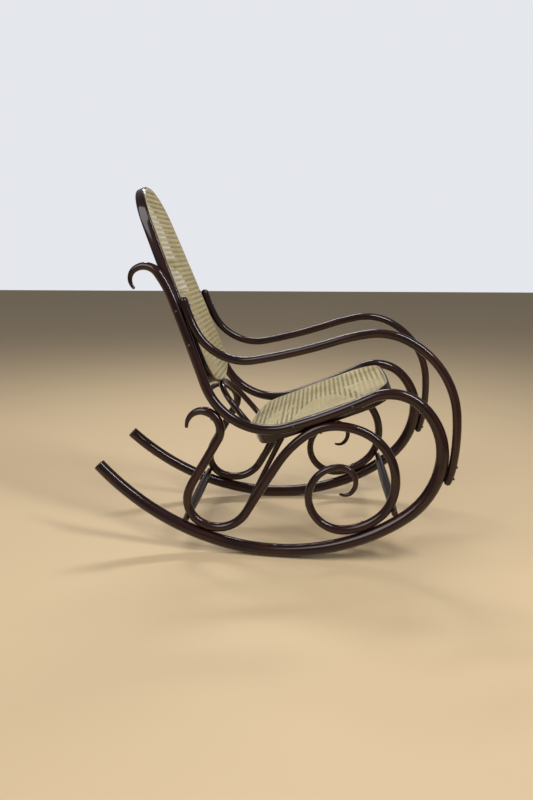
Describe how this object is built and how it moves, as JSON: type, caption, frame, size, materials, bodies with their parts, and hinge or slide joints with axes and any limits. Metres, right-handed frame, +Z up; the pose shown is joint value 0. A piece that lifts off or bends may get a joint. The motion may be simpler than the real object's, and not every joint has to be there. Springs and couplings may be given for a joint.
{
  "type": "rocking chair",
  "caption": "Bentwood rocking chair with scrolled side frames on curved runners, bent arms, and a woven cane seat and back.",
  "frame": {"origin": "on the floor, under the centre of the bounding box", "axes": "+X to the front of the chair, +Y to the sitter's left, +Z up; the runners rest on Z = 0"},
  "size_m": [1.0389, 0.5605, 1.0411],
  "materials": {
    "lacquered_wood": "dark red-brown gloss lacquer",
    "woven_cane": "natural woven cane, satin",
    "spline_reed": "natural reed, satin",
    "steel_screws": "dulled steel"
  },
  "bodies": {
    "root": {"runner_right": "lacquered_wood", "runner_left": "lacquered_wood", "rail_right": "lacquered_wood", "rail_left": "lacquered_wood", "arm_right": "lacquered_wood", "arm_left": "lacquered_wood", "scroll_rear_right": "lacquered_wood", "scroll_rear_left": "lacquered_wood", "scroll_front_right": "lacquered_wood", "scroll_front_left": "lacquered_wood", "seat_brace_right": "lacquered_wood", "seat_brace_left": "lacquered_wood", "stretcher_rear": "lacquered_wood", "stretcher_front": "lacquered_wood", "back_ring": "lacquered_wood", "seat_ring": "lacquered_wood", "back_hoop": "lacquered_wood", "back_cane": "woven_cane", "seat_cane": "woven_cane", "back_spline": "spline_reed", "seat_spline": "spline_reed", "arm_screws": "steel_screws", "scroll_screws": "steel_screws", "back_screws": "steel_screws", "seat_screws": "steel_screws"}
  },
  "joints": []
}
